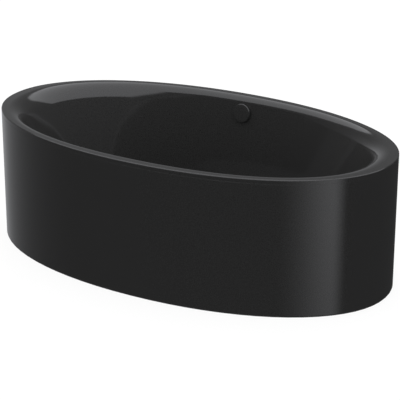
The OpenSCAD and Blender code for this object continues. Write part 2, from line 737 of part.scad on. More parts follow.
pipe_insert = 4.5;
module waste_body() {
  thread_height = 14;
  inner = bowl_radius - plastic_wall;
  cheek = 4;
  color("#c9c7bf") difference() {
    union() {
      difference() {
        union() {
          translate([0, 0, bowl_top - bowl_lip_height])
            cylinder(r = bowl_lip_radius, h = bowl_lip_height);
          translate([0, 0, bowl_bottom]) cylinder(r = bowl_radius, h = bowl_height - 1);
          translate([0, 0, pipe_z]) rotate([-90, 0, 0])
            cylinder(r = hose_radius - hose_wall - contact_gap, h = hose_end_y + hose_insert);
          translate([0, 0, pipe_z]) rotate([0, -90, 0])
            cylinder(r = pipe_radius, h = inlet_x + pipe_insert);
        }
        translate([0, 0, bowl_bottom + plastic_wall])
          cylinder(r = inner, h = bowl_height - plastic_wall - thread_height);
        translate([0, 0, bowl_bottom + plastic_wall])
          cylinder(r = collar_radius + thread_gap, h = bowl_height);
        translate([0, 20, pipe_z]) rotate([-90, 0, 0])
          cylinder(r = hose_radius - 2 * hose_wall - 1, h = hose_end_y + hose_insert);
        translate([-20, 0, pipe_z]) rotate([0, -90, 0])
          cylinder(r = pipe_radius - pipe_wall, h = inlet_x + pipe_insert);
      }
      translate([0, 0, bowl_bottom]) cylinder(r = guide_radius, h = guide_top - bowl_bottom);
      for (x = [cheek_x, cheek_x + cheek + 3])
        translate([x, crank_y - 9, crank_z - 9]) cube([cheek, 18, bowl_bottom - crank_z + 10]);
      translate([cheek_x + cheek + 3, crank_y, crank_z + crank_shaft + 3])
        cube([cheek, cable_end_y + cable_plate - crank_y, bowl_bottom - crank_z - crank_shaft - 2]);
      translate([cheek_x + cheek + 3, cable_end_y, cable_z - cable_radius - 4])
        cube([cable_x + cable_radius + 3 - cheek_x - cheek - 3, cable_plate,
          bowl_bottom - cable_z + cable_radius + 5]);
    }
    translate([0, 0, bowl_bottom - 1])
      cylinder(r = pin_radius + running_gap, h = guide_top - bowl_bottom + 2);
    translate([cheek_x - 1, crank_y, crank_z]) rotate([0, 90, 0])
      cylinder(r = crank_shaft + running_gap, h = 2 * cheek + 5);
    translate([cable_x, cable_end_y - 1, cable_z]) rotate([-90, 0, 0])
      cylinder(r = cable_radius + contact_gap, h = cable_plate + 2, $fn = 32);
  }
}
cheek_x = 8;

module lift_crank() {
  bar = 3;
  arm_width = 4;
  color("silver") {
    translate([-4, crank_y, crank_z]) rotate([0, 90, 0])
      cylinder(r = crank_shaft, h = cable_x + arm_width / 2 + 4);
    translate([-4, crank_y, crank_z - bar]) cube([8, crank_reach, 2 * bar]);
    translate([-4, crank_y + crank_reach, crank_z]) rotate([0, 90, 0])
      cylinder(r = crank_tip, h = 8);
    translate([cable_x - arm_width / 2, crank_y - bar, crank_z - crank_arm - bar])
      cube([arm_width, 2 * bar, crank_arm + bar]);
  }
}

module lift_pin() {
  color("silver") translate([0, 0, pin_bottom]) cylinder(r = pin_radius, h = pin_top - pin_bottom);
}

seal_thickness = 1.4;
cap_bottom = flange_top + contact_gap * 3 + seal_thickness;
cap_rise = 4.5;
module plug_cap() {
  rim = 2.2;
  color("#1c1c1e") translate([0, 0, cap_bottom]) rotate_extrude() polygon(concat(
    [[0, 0], [plug_radius - rim / 2, 0]],
    [for (t = [-60:30:60]) [plug_radius - rim / 2 + rim / 2 * cos(t), rim / 2 + rim / 2 * sin(t)]],
    [for (s = [0.9:-0.1:0]) [plug_radius * s, rim + (cap_rise - rim) * (1 - pow(s, 2))]]));
}

module plug_stem() {
  color("#b9bcc0") translate([0, 0, pin_top + 0.3])
    cylinder(r = stem_radius, h = cap_bottom - pin_top - 0.3 - thread_gap);
}

module plug_seal() {
  color("#202022") translate([0, 0, cap_bottom - thread_gap - seal_thickness])
    ring(flange_bore + 5, stem_radius + contact_gap, seal_thickness);
}

// ---- Trap and outlet ----

socket_length = 14;
socket_wall = 4;
inlet_x = trap_distance - trap_radius - socket_length;
outlet_x = trap_distance + trap_radius + socket_length;
trap_bottom = 12;
trap_top = pipe_z + pipe_radius + socket_wall;
outlet_bend = 34;
outlet_end = 8;
outlet_pipe_x = outlet_x + 18 + outlet_bend;

// Children are placed at the mouths of the trap's two sockets, their Z out of the socket
module at_sockets() {
  for (m = [[-inlet_x, 90], [-outlet_x, -90]])
    translate([m[0], 0, pipe_z]) rotate([0, m[1], 0]) children();
}

module trap_body() {
  depth = trap_top - trap_bottom;
  color("#c9c7bf") difference() {
    union() {
      difference() {
        translate([-trap_distance, 0, trap_bottom]) cylinder(r = trap_radius, h = depth);
        translate([-trap_distance, 0, trap_bottom + plastic_wall])
          cylinder(r = trap_radius - plastic_wall, h = depth);
      }
      difference() {
        at_sockets() translate([0, 0, -socket_length - 6])
          cylinder(r = pipe_radius + socket_wall, h = socket_length + 6);
        translate([-trap_distance, 0, trap_bottom])
          cylinder(r = trap_radius - plastic_wall, h = depth);
      }
      translate([-trap_distance - 1.5, -trap_radius + 1, trap_bottom + 22])
        cube([3, 2 * trap_radius - 2, depth - 22 - plastic_wall - 1]);
    }
    at_sockets() translate([0, 0, -pipe_insert - 0.5])
      cylinder(r = pipe_radius + contact_gap, h = pipe_insert + 1);
    at_sockets() translate([0, 0, -socket_length - 12])
      cylinder(r = pipe_radius - pipe_wall, h = socket_length + 13);
  }
}

module trap_cap() {
  color("#5b5d60") translate([-trap_distance, 0, 0]) {
    translate([0, 0, trap_top + contact_gap]) cylinder(r = trap_radius, h = 3.5);
    translate([0, 0, trap_top - plastic_wall])
      cylinder(r = trap_radius - plastic_wall - contact_gap, h = plastic_wall + 1);
  }
}

pipe_seal_width = 5;
module pipe_nuts() {
  grip = 10;
  lip = 2.5;
  outer = pipe_radius + socket_wall + 5;
  color("#5b5d60") at_sockets() {
    translate([0, 0, -grip]) ring(outer, pipe_radius + socket_wall + contact_gap,
      grip + pipe_seal_width + 2 * contact_gap);
    translate([0, 0, pipe_seal_width + 2 * contact_gap]) ring(outer, pipe_radius + contact_gap, lip);
  }
}

module pipe_seals() {
  color("#202022") at_sockets() translate([0, 0, contact_gap])
    ring(pipe_radius + socket_wall, pipe_radius + thread_gap, pipe_seal_width);
}

module outlet_run(radius, over) {
  arc_x = outlet_pipe_x - outlet_bend;
  translate([-outlet_x + pipe_insert + over, 0, pipe_z]) rotate([0, -90, 0])
    cylinder(r = radius, h = arc_x - outlet_x + pipe_insert + over);
  translate([-arc_x, 0, pipe_z - outlet_bend]) rotate([0, -90, 90])
    rotate_extrude(angle = 90) translate([outlet_bend, 0]) circle(r = radius);
  translate([-outlet_pipe_x, 0, outlet_end - over])
    cylinder(r = radius, h = pipe_z - outlet_bend - outlet_end + over);
}
module outlet_elbow() {
  color("#c9c7bf") difference() {
    outlet_run(pipe_radius, 0);
    outlet_run(pipe_radius - pipe_wall, 1);
  }
}

tub();
apron();
base_seal();
rim_blocks();
rim_bolts();
damping_mats();
cross_rails();
rail_pads();
tie_bar();
tie_bolts();
foot_nuts();
foot_locknuts();
apron_stays();
stay_bolts();
stay_nuts();
earth_lug();
foot_plate_1();
foot_plate_2();
foot_plate_3();
foot_plate_4();
foot_spindle_1();
foot_spindle_2();
foot_spindle_3();
foot_spindle_4();
overflow_front_seal();
overflow_rear_seal();
overflow_collar();
overflow_body();
overflow_knob();
knob_spindle();
knob_screw();
overflow_hose();
hose_clips();
control_cable();
waste_flange();
waste_top_seal();
waste_bottom_seal();
waste_body();
lift_crank();
lift_pin();
plug_cap();
plug_stem();
plug_seal();
trap_body();
trap_cap();
pipe_nuts();
pipe_seals();
outlet_elbow();
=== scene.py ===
import json
import math

import bmesh
import bpy
from mathutils import Matrix, Vector


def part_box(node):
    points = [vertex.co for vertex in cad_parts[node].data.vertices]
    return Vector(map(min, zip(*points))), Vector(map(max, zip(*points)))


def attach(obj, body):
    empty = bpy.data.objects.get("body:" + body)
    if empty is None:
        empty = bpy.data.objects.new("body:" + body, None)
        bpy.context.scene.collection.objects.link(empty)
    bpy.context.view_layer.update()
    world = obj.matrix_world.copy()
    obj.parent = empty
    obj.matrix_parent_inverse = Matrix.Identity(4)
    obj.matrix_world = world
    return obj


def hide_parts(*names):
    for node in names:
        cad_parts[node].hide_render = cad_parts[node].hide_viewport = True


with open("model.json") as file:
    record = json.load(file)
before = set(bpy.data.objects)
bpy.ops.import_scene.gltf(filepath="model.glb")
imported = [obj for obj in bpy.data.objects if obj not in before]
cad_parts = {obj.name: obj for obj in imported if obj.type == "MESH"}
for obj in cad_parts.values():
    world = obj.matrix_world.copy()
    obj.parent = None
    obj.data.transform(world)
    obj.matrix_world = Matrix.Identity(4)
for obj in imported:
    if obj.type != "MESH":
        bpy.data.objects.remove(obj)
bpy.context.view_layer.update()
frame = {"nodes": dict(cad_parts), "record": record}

# ---- Sizes, in metres ----

_, tub_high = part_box("tub")
HALF_LENGTH = tub_high.x
HALF_WIDTH = tub_high.y
RIM_HEIGHT = tub_high.z
# The tub's shape, as its driving dimensions give it
OUTLINE_POWER = 2.09
INNER_POWER = 2.2
FLOOR_HEIGHT = 0.125
FLOOR_FALL = 0.006
TUB_WALL = 0.0035
EDGE_RADIUS = 0.004
LIP_HEIGHT = 0.018
SIDE = {"flat": 0.029, "roll": 0.028, "slope": math.radians(82), "fillet": 0.110}
END = {"flat": 0.040, "roll": 0.097, "slope": math.radians(66), "fillet": 0.120}
EDGE_DEPTH = RIM_HEIGHT - FLOOR_HEIGHT - FLOOR_FALL
DRAIN_LEVEL = 0.062
HOLE_RADIUS = 0.026
# The apron's folded sheet
APRON_WALL = 0.002
APRON_FLANGE = 0.024
APRON_BEND = 0.0008
apron_low, apron_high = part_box("apron")
OVERFLOW_DROP = 0.070
# Facets round the bath, enough for its gloss to run smoothly
AROUND = 384
# A flat starts with a narrow strip beside each bend, so that its gloss stays flat
STRIP = 0.0015
# Points closer than this are one
WELD = 1e-6


def srgb(code):
    """A linear colour with alpha, from an sRGB hex value."""
    parts = [int(code[i:i + 2], 16) / 255 for i in (1, 3, 5)]
    return [c / 12.92 if c <= 0.04045 else ((c + 0.055) / 1.055) ** 2.4 for c in parts] + [1]


# ---- Materials ----

def add_node(tree, kind, settings=None, inputs=None, links=None, stops=None, feeds=None):
    """A node with its settings, its input values, its links as input: (node, output), its
    ramp's stops as (position, colour), and what it feeds as output: (node, input)."""
    node = tree.nodes.new(kind)
    for name, value in (settings or {}).items():
        setattr(node, name, value)
    for name, value in (inputs or {}).items():
        node.inputs[name].default_value = value
    for name, (source, output) in (links or {}).items():
        tree.links.new(source.outputs[output], node.inputs[name])
    for element, (position, colour) in zip(node.color_ramp.elements if stops else (), stops or ()):
        element.position = position
        element.color = srgb(colour)
    for output, (target, name) in (feeds or {}).items():
        tree.links.new(node.outputs[output], target.inputs[name])
    return node


def start_material(name, **values):
    """A named material with its shader's own values, its tree, its surface shader and its
    Object coordinates."""
    material = bpy.data.materials.new(name)
    material.use_nodes = True
    tree = material.node_tree
    surface = tree.nodes["Principled BSDF"]
    for socket, value in values.items():
        surface.inputs[socket.replace("_", " ")].default_value = value
    place = add_node(tree, "ShaderNodeTexCoord")
    return material, tree, surface, place


def finish_surface(tree, surface, colour, gloss, relief):
    """Colour, roughness and relief, each led by a pattern as (node, output). The colour has
    two ramp stops, the gloss its least and most roughness, the relief its height in metres."""
    pattern, stops = colour
    add_node(tree, "ShaderNodeValToRGB", links={"Fac": pattern}, stops=stops,
             feeds={"Color": (surface, "Base Color")})
    pattern, least, most = gloss
    add_node(tree, "ShaderNodeMapRange", inputs={"To Min": least, "To Max": most},
             links={"Value": pattern}, feeds={"Result": (surface, "Roughness")})
    pattern, height = relief
    add_node(tree, "ShaderNodeBump", inputs={"Strength": 1.0, "Distance": height},
             links={"Height": pattern}, feeds={"Normal": (surface, "Normal")})


def vitreous_enamel():
    """Black vitreous enamel, sprayed and fired on steel: a deep glassy black whose gloss
    ripples every 30 mm where the melt has flowed, with a faint 4 mm mottle in the glass."""
    material, tree, surface, place = start_material("vitreous_enamel_black", IOR=1.5)
    ripple = add_node(tree, "ShaderNodeTexNoise", inputs={"Scale": 1 / 0.030, "Detail": 1.0},
                      links={"Vector": (place, "Object")})
    mottle = add_node(tree, "ShaderNodeTexNoise", inputs={"Scale": 1 / 0.004, "Detail": 2.0},
                      links={"Vector": (place, "Object")})
    finish_surface(tree, surface, ((mottle, "Fac"), ((0.3, "#1d1d1d"), (0.7, "#222222"))),
                   ((mottle, "Fac"), 0.05, 0.09), ((ripple, "Fac"), 0.00006))
    return material


def moulded_rubber():
    """EPDM rubber, compression moulded: matt black with a fine bloom and dust in its
    grain, drawn at 1.5 mm so that it shows."""
    material, tree, surface, place = start_material("moulded_epdm_rubber", IOR=1.5)
    grain = add_node(tree, "ShaderNodeTexNoise", inputs={"Scale": 1 / 0.0015, "Detail": 4.0},
                     links={"Vector": (place, "Object")})
    finish_surface(tree, surface, ((grain, "Fac"), ((0.3, "#161617"), (0.7, "#242425"))),
                   ((grain, "Fac"), 0.6, 0.8), ((grain, "Fac"), 0.00008))
    return material


def bitumen_mat():
    """A bitumen and rubber damping mat, pressed between cloths: charcoal grey, with the
    weave's dimples every 4 mm."""
    material, tree, surface, place = start_material("pressed_bitumen_mat", IOR=1.55)
    dimples = add_node(tree, "ShaderNodeTexVoronoi", inputs={"Scale": 1 / 0.004},
                       links={"Vector": (place, "Object")})
    finish_surface(tree, surface, ((dimples, "Distance"), ((0.1, "#2a2a2b"), (0.8, "#434345"))),
                   ((dimples, "Distance"), 0.7, 0.9), ((dimples, "Distance"), 0.0006))
    return material


def galvanised_steel():
    """Hot-dip galvanised sheet steel: crystals of zinc about 9 mm across, each with its
    own brightness and gloss."""
    material, tree, surface, place = start_material("galvanised_sheet_steel", Metallic=1.0)
    spangle = add_node(tree, "ShaderNodeTexVoronoi", inputs={"Scale": 1 / 0.009},
                       links={"Vector": (place, "Object")})
    shade = add_node(tree, "ShaderNodeSeparateColor", links={"Color": (spangle, "Color")})
    finish_surface(tree, surface, ((shade, "Red"), ((0.0, "#9ba1a6"), (1.0, "#c6cbcf"))),
                   ((shade, "Green"), 0.28, 0.52), ((spangle, "Distance"), 0.00005))
    return material


def zinc_plate():
    """Bright zinc plate on turned and stamped steel: bluish silver, with fine tool marks
    across its axis, drawn every 2.5 mm so that they show."""
    material, tree, surface, place = start_material("bright_zinc_plate", Metallic=1.0)
    marks = add_node(tree, "ShaderNodeTexWave",
                     settings={"wave_type": "BANDS", "bands_direction": "Z"},
                     inputs={"Scale": 1 / 0.0025, "Distortion": 1.5, "Detail": 2.0},
                     links={"Vector": (place, "Object")})
    finish_surface(tree, surface, ((marks, "Fac"), ((0.0, "#b4b9be"), (1.0, "#cfd3d7"))),
                   ((marks, "Fac"), 0.22, 0.36), ((marks, "Fac"), 0.00003))
    return material


def moulded_polypropylene(name, dark, light):
    """Polypropylene, injection moulded in a spark-eroded tool: satin, with a 1.2 mm grain
    and soft clouds of colour where the melt has flowed."""
    material, tree, surface, place = start_material(name, IOR=1.49)
    flow = add_node(tree, "ShaderNodeTexNoise", inputs={"Scale": 1 / 0.025, "Detail": 2.0},
                    links={"Vector": (place, "Object")})
    grain = add_node(tree, "ShaderNodeTexNoise", inputs={"Scale": 1 / 0.0012, "Detail": 2.0},
                     links={"Vector": (place, "Object")})
    finish_surface(tree, surface, ((flow, "Fac"), ((0.3, dark), (0.7, light))),
                   ((grain, "Fac"), 0.34, 0.5), ((grain, "Fac"), 0.00004))
    return material


def extruded_sleeve():
    """PVC, extruded as the cable's sleeve: satin black, drawn out in fine lines."""
    material, tree, surface, place = start_material("extruded_pvc_sleeve", IOR=1.53)
    stretch = add_node(tree, "ShaderNodeMapping", inputs={"Scale": (1.0, 1.0, 0.15)},
                       links={"Vector": (place, "Object")})
    lines = add_node(tree, "ShaderNodeTexNoise", inputs={"Scale": 1 / 0.0015, "Detail": 2.0},
                     links={"Vector": (stretch, "Vector")})
    finish_surface(tree, surface, ((lines, "Fac"), ((0.3, "#1d1e20"), (0.7, "#2b2c2f"))),
                   ((lines, "Fac"), 0.35, 0.5), ((lines, "Fac"), 0.00003))
    return material


def chromed_brass():
    """Brass, cast, polished and chrome plated: a clear bluish mirror with faint 6 mm waves
    left by the polishing wheel."""
    material, tree, surface, place = start_material("polished_chrome_plate", Metallic=1.0)
    waves = add_node(tree, "ShaderNodeTexNoise", inputs={"Scale": 1 / 0.006, "Detail": 1.0},
                     links={"Vector": (place, "Object")})
    finish_surface(tree, surface, ((waves, "Fac"), ((0.3, "#d3d6da"), (0.7, "#dee0e3"))),
                   ((waves, "Fac"), 0.04, 0.1), ((waves, "Fac"), 0.00001))
    return material


finishes = {
    "black_enamel": vitreous_enamel(),
    "seal_rubber": moulded_rubber(),
    "damping_mat": bitumen_mat(),
    "galvanised_steel": galvanised_steel(),
    "zinc_fasteners": zinc_plate(),
    "waste_plastic": moulded_polypropylene("moulded_polypropylene_grey", "#bdbbb4", "#cac8c1"),
    "dark_plastic": moulded_polypropylene("moulded_polypropylene_dark", "#515356", "#5f6164"),
    "cable_sleeve": extruded_sleeve(),
    "chromed_brass": chromed_brass(),
}
for subpart in frame["record"]["subparts"]:
    mesh = frame["nodes"][subpart["node"]].data
    mesh.materials.clear()
    mesh.materials.append(finishes[subpart["material_slot"]])


# ---- Making pieces ----

# Edges that turn by more than this stay crisp
SHARP = math.radians(35)
# Facets round each turned shape
FACETS = {"hole": 96, "knob": 128, "plug": 96, "hose": 40, "nut": 48, "trap_cap": 72,
          "floor": 96}


def new_object(name, bm):
    """An object in the scene, from a bmesh."""
    mesh = bpy.data.meshes.new(name)
    bm.to_mesh(mesh)
    bm.free()
    made = bpy.data.objects.new(name, mesh)
    bpy.context.scene.collection.objects.link(made)
    return made


def smooth(mesh):
    """Smooth shading that keeps the edges crisp."""
    mesh.shade_smooth()
    mesh.set_sharp_from_angle(angle=SHARP)


def add_piece(name, bm, slot, body, nodes):
    """An object from a bmesh, with its finish, on its body, in place of CAD nodes."""
    piece = new_object(name, bm)
    smooth(piece.data)
    piece.data.materials.append(finishes[slot])
    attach(piece, body)
    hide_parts(*nodes)
    return piece


def arc(centre, radius, first, last, steps):
    """Points of an arc, between two angles in degrees."""
    angles = [math.radians(first + (last - first) * i / steps) for i in range(steps + 1)]
    return [(centre[0] + radius * math.cos(a), centre[1] + radius * math.sin(a)) for a in angles]


def spun(profile, steps, closed=False):
    """A turned shape: a line of points (radius, height) spun round the Z axis."""
    bm = bmesh.new()
    verts = [bm.verts.new((r, 0, z)) for r, z in profile]
    pairs = list(zip(verts, verts[1:])) + ([(verts[-1], verts[0])] if closed else [])
    edges = [bm.edges.new(pair) for pair in pairs]
    bmesh.ops.spin(bm, geom=verts + edges, cent=(0, 0, 0), axis=(0, 0, 1),
                   angle=2 * math.pi, steps=steps, use_merge=True)
    bmesh.ops.remove_doubles(bm, verts=bm.verts, dist=WELD)
    bmesh.ops.recalc_face_normals(bm, faces=bm.faces)
    return bm


def signed_power(value, power):
    """A power that keeps the sign."""
    return math.copysign(abs(value) ** power, value)


def outline_place(half_x, half_y, power, turn):
    """A point of a rounded outline of two half widths, at an angle round it."""
    return (half_x * signed_power(math.cos(turn), 2 / power),
            half_y * signed_power(math.sin(turn), 2 / power))


def next_row(bm, edges):
    """Extrudes a closed row of edges: the new row's points and its edges."""
    made = bmesh.ops.extrude_edge_only(bm, edges=edges)["geom"]
    row = [part for part in made if isinstance(part, bmesh.types.BMVert)]
    in_row = set(row)
    edges = [edge for vert in row for edge in vert.link_edges if set(edge.verts) <= in_row]
    return row, list(dict.fromkeys(edges))


def lofted(rings, steps):
    """A skin over rings, each (half length, half width, height, roundness)."""
    bm = bmesh.new()
    turn = bm.verts.layers.float.new("turn")
    row = bmesh.ops.create_circle(bm, segments=steps, radius=1)["verts"]
    for vert in row:
        vert[turn] = math.atan2(vert.co.y, vert.co.x)
    edges = list(bm.edges)
    for i, (half_x, half_y, height, power) in enumerate(rings):
        if i:
            row, edges = next_row(bm, edges)
        for vert in row:
            vert.co = (*outline_place(half_x, half_y, power, vert[turn]), height)
    return bm


# ---- The tub ----

# Rows of facets down the wall: near the overflow's hole, from below it, and the least step
HOLE_ROWS = 0.009
BELOW_HOLE = 0.13
WALL_ROWS = 0.045
LEAST_STEP = 0.0001
FLOOR_ROWS = 10


def slope_begins(side):
    """The depth at which the roll runs into the straight slope."""
    return side["roll"] * (1 - math.cos(side["slope"]))


def slope_ends(side):
    """The depth at which the slope runs into the fillet."""
    return EDGE_DEPTH - side["fillet"] * (1 - math.cos(side["slope"]))


def slope_inset(side, depth):
    """How far the straight slope lies in from the outline at a depth."""
    run = (depth - slope_begins(side)) / math.tan(side["slope"])
    return side["flat"] + side["roll"] * math.sin(side["slope"]) + run


def wall_inset(side, depth):
    """How far the inside lies in from the outline at a depth: roll, slope, then fillet."""
    if depth <= slope_begins(side):
        return side["flat"] + math.sqrt(side["roll"] ** 2 - (side["roll"] - depth) ** 2)
    if depth <= slope_ends(side):
        return slope_inset(side, depth)
    rise = side["fillet"] - EDGE_DEPTH + depth
    return (slope_inset(side, slope_ends(side)) + side["fillet"] * math.sin(side["slope"])
            - math.sqrt(max(side["fillet"] ** 2 - rise ** 2, 0)))


def wall_ring(depth):
    """A row of the wall at a depth below the rim."""
    return (HALF_LENGTH - wall_inset(END, depth), HALF_WIDTH - wall_inset(SIDE, depth),
            RIM_HEIGHT - depth, INNER_POWER)


def wall_depths():
    """Depths that follow the rolls, slopes and fillets of the sides and of the ends."""
    depths = {0.0}
    for side, rolls, fillets in ((SIDE, 9, 14), (END, 14, 12)):
        depths |= {side["roll"] * (1 - math.cos(side["slope"] * i / rolls))
                   for i in range(1, rolls + 1)}
        depths |= {EDGE_DEPTH - side["fillet"] * (1 - math.cos(side["slope"] * i / fillets))
                   for i in range(fillets + 1)}
    # The straight part is cut finely only where the overflow's hole is
    depths |= {OVERFLOW_DROP + HOLE_ROWS * i for i in range(-1, 5)}
    depths |= {BELOW_HOLE + WALL_ROWS * i for i in range(5)}
    kept = []
    for depth in sorted(depths):
        if not kept or depth - kept[-1] > LEAST_STEP:
            kept.append(depth)
    return kept


def tub_rings():
    """The tub's rows from the lip over the rim, down the wall and in to the drain."""
    edge = [(0, -LIP_HEIGHT), (0, -EDGE_RADIUS - STRIP)]
    edge += arc((-EDGE_RADIUS, -EDGE_RADIUS), EDGE_RADIUS, 0, 90, 8)
    edge += [(-EDGE_RADIUS - STRIP, 0)]
    rings = [(HALF_LENGTH + out, HALF_WIDTH + out, RIM_HEIGHT + up, OUTLINE_POWER)
             for out, up in edge]
    rings.append((HALF_LENGTH - END["flat"] + STRIP, HALF_WIDTH - SIDE["flat"] + STRIP,
                  RIM_HEIGHT, INNER_POWER))
    rings += [wall_ring(depth) for depth in wall_depths()]
    edge_x, edge_y, _, _ = rings[-1]
    for i in range(1, FLOOR_ROWS + 1):
        share = 1 - i / FLOOR_ROWS
        rings.append((DRAIN_LEVEL + (edge_x - DRAIN_LEVEL) * share,
                      DRAIN_LEVEL + (edge_y - DRAIN_LEVEL) * share,
                      FLOOR_HEIGHT + FLOOR_FALL * share, 2 + (INNER_POWER - 2) * share))
    rings.append((HOLE_RADIUS, HOLE_RADIUS, FLOOR_HEIGHT, 2))
    return rings


# Length of the cutter that makes the overflow's hole
PUNCH_DEPTH = 0.04
# The overflow's own frame: its centre on the wall, its Z square to the wall
overflow_centre = Vector((0, HALF_WIDTH - wall_inset(SIDE, OVERFLOW_DROP),
                          RIM_HEIGHT - OVERFLOW_DROP))
overflow_frame = Matrix.Translation(overflow_centre) @ Matrix.Rotation(SIDE["slope"], 4, "X")


def make_tub():
    """The tub's skin, thickened to its steel, with the overflow's hole cut through it."""
    bm = lofted(tub_rings(), AROUND)
    bmesh.ops.recalc_face_normals(bm, faces=bm.faces)
    if sum(f.normal.z for f in bm.faces) < 0:
        bmesh.ops.reverse_faces(bm, faces=bm.faces)
    tub = add_piece("tub_shell", bm, "black_enamel", "bath", ["tub"])
    wall = tub.modifiers.new("steel_wall", "SOLIDIFY")
    wall.thickness = TUB_WALL
    wall.offset = -1
    wall.use_even_offset = True
    punch_bm = bmesh.new()
    bmesh.ops.create_cone(punch_bm, cap_ends=True, segments=FACETS["hole"],
                          radius1=HOLE_RADIUS, radius2=HOLE_RADIUS, depth=PUNCH_DEPTH)
    bmesh.ops.transform(punch_bm, matrix=overflow_frame, verts=punch_bm.verts)
    punch = new_object("overflow_punch", punch_bm)
    hole = tub.modifiers.new("overflow_hole", "BOOLEAN")
    hole.object = punch
    hole.operation = "DIFFERENCE"
    hole.solver = "EXACT"
    bpy.context.view_layer.update()
    shaped = tub.evaluated_get(bpy.context.evaluated_depsgraph_get())
    finished = bpy.data.meshes.new_from_object(shaped)
    tub.modifiers.clear()
    tub.data = finished
    bpy.data.objects.remove(punch)
    smooth(tub.data)


# ---- The apron ----

def apron_profile():
    """The folded sheet's section as points (inset, height), once round."""
    low, high = apron_low.z, apron_high.z
    bend, fold = APRON_BEND, APRON_WALL + APRON_FLANGE
    section = arc((bend, low + bend), bend, 270, 180, 4)
    section += [(0, low + bend + STRIP), (0, high - bend - STRIP)]
    section += arc((bend, high - bend), bend, 180, 90, 4)
    section += [(fold, high), (fold, high - APRON_WALL)]
    section += [(APRON_WALL, high - APRON_WALL), (APRON_WALL, low + APRON_WALL)]
    section += [(fold, low + APRON_WALL), (fold, low)]
    return section


def make_apron():
    """The apron: one strip, folded in along both edges and bent round the bath."""
    section = apron_profile()
    rings = [(HALF_LENGTH - inset, HALF_WIDTH - inset, height, OUTLINE_POWER)
             for inset, height in section + section[:1]]
    bm = lofted(rings, AROUND)
    bmesh.ops.remove_doubles(bm, verts=bm.verts, dist=WELD)
    bmesh.ops.recalc_face_normals(bm, faces=bm.faces)
    add_piece("apron_shell", bm, "black_enamel", "bath", ["apron"])


# ---- Knob and plug ----

knob_low, knob_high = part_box("overflow_knob")
KNOB_RADIUS = (knob_high.x - knob_low.x) / 2
KNOB_FACE = 0.014
KNOB_BASE = 0.005
KNOB_EDGE = 0.0035
KNOB_WALL = 0.003
KNOB_CROWN = 0.0004
# The radius inside the cap's corner, and the small bevel at its mouth
KNOB_CORNER = 0.001
KNOB_BEVEL = 0.0003
# The hub sits this far inside the cap, reaches this far past its mouth, and its bore ends
# this far below the face
HUB_SETBACK = 0.0005
HUB_REACH = 0.001
BORE_END = 0.002
SPINDLE_RADIUS = 0.005
HUB_RADIUS = 0.0085


def make_knob():
    """A pressed and enamelled cap with a slightly crowned face, and its hub inside."""
    ceiling = KNOB_FACE - KNOB_WALL - HUB_SETBACK
    profile = [(0, KNOB_FACE), (KNOB_RADIUS / 2, KNOB_FACE - KNOB_CROWN / 4)]
    profile += arc((KNOB_RADIUS - KNOB_EDGE, KNOB_FACE - KNOB_CROWN - KNOB_EDGE),
                   KNOB_EDGE, 90, 0, 8)
    profile += [(KNOB_RADIUS, KNOB_BASE + KNOB_BEVEL), (KNOB_RADIUS - KNOB_BEVEL, KNOB_BASE)]
    profile += [(KNOB_RADIUS - KNOB_WALL, KNOB_BASE)]
    profile += arc((KNOB_RADIUS - KNOB_WALL - KNOB_CORNER, ceiling - KNOB_CORNER),
                   KNOB_CORNER, 0, 90, 3)
    profile += [(HUB_RADIUS, ceiling), (HUB_RADIUS, KNOB_BASE - HUB_REACH),
                (SPINDLE_RADIUS, KNOB_BASE - HUB_REACH), (SPINDLE_RADIUS, KNOB_FACE - BORE_END),
                (0, KNOB_FACE - BORE_END)]
    bm = spun(profile, FACETS["knob"])
    bmesh.ops.transform(bm, matrix=overflow_frame, verts=bm.verts)
    add_piece("overflow_turn_knob", bm, "black_enamel", "knob", ["overflow_knob"])


cap_low, cap_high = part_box("plug_cap")
PLUG_RADIUS = (cap_high.x - cap_low.x) / 2
CAP_EDGE = 0.0011
# The share of the cap that its dome covers
DOME_SHARE = 0.97


def make_plug_cap():
    """The plug's enamelled cap: a low dome with a rolled edge."""
    base, top = cap_low.z, cap_high.z
    shoulder = base + 2 * CAP_EDGE
    dome = [(PLUG_RADIUS * DOME_SHARE * i / 10, shoulder + (top - shoulder) * (1 - (i / 10) ** 2))
            for i in range(11)]
    edge = arc((PLUG_RADIUS - CAP_EDGE, base + CAP_EDGE), CAP_EDGE, 70, -90, 8)
    bm = spun(dome + edge + [(0, base)], FACETS["plug"])
    add_piece("plug_dome", bm, "black_enamel", "plug", ["plug_cap"])


# ---- Overflow hose, union nuts and trap cap ----

nuts_low, nuts_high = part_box("pipe_nuts")
trap_low, trap_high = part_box("trap_body")
cap_bottom, cap_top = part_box("trap_cap")
PIPE_HEIGHT = (nuts_low.z + nuts_high.z) / 2
TRAP_X = (trap_low.x + trap_high.x) / 2
HOSE_RADIUS = 0.019
HOSE_BORE = 0.0166
HOSE_VALLEY = 0.0174
HOSE_BEND = 0.070
HOSE_START = 0.050
HOSE_DEPTH = TUB_WALL + HOSE_RADIUS + 0.005
HOSE_CUFF = 0.030
HOSE_PITCH = 0.006
BORE_ROWS = 40
# Shares of a pitch at which each rib of the hose falls and rises
HOSE_RIB = ((0.05, HOSE_RADIUS), (0.35, HOSE_VALLEY), (0.65, HOSE_VALLEY), (0.95, HOSE_RADIUS))
NUT_RADIUS = (nuts_high.z - nuts_low.z) / 2
PIPE_RADIUS = 0.020
# A union nut's lengths from its middle: to its open end, to its shut end and to its lip
NUT_OPEN = 0.010
NUT_SHUT = 0.0077
NUT_LIP = 0.0052
# Its chamfer, its finger grips' height, its room round the pipe's collar and round the pipe
NUT_CHAMFER = 0.0008
NUT_GRIP = 0.0012
NUT_ROOM = 0.0041
THREAD_ROOM = 0.0001
